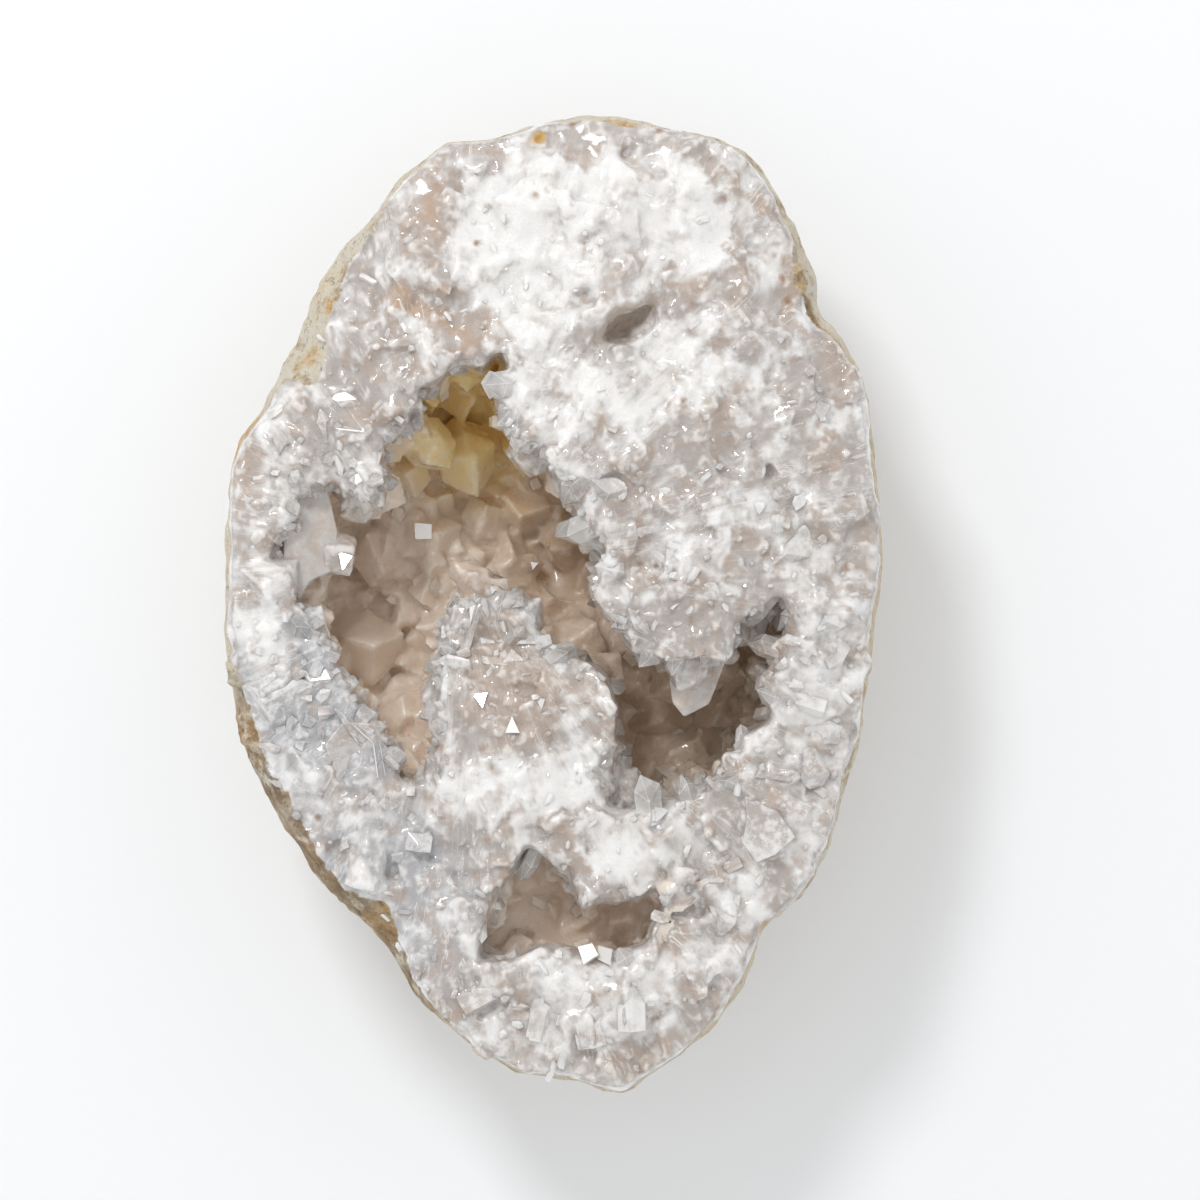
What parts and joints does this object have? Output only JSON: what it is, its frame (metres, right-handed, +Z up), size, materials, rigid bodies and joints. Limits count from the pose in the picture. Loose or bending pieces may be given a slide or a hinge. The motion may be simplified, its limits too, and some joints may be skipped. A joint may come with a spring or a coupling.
{
  "type": "quartz geode",
  "caption": "Broken half of a hollow quartz geode lying on its rounded back, with white quartz and crystal-lined hollows inside a thin tan rind.",
  "frame": {"origin": "on the resting surface, under the middle of the geode's box", "axes": "+Z up, out of the broken face; +Y along the geode, towards the end that the white quartz fills"},
  "size_m": [0.055, 0.082, 0.0329],
  "materials": {
    "quartz_and_rind": "white sugary broken quartz, satin to glassy, with a dull cream and tan rind",
    "crystals": "glassy clear to smoky crystal faces"
  },
  "bodies": {
    "root": {"geode_shell": "quartz_and_rind", "crystal_crust": "crystals", "small_crystal_crust": "crystals"}
  },
  "joints": []
}
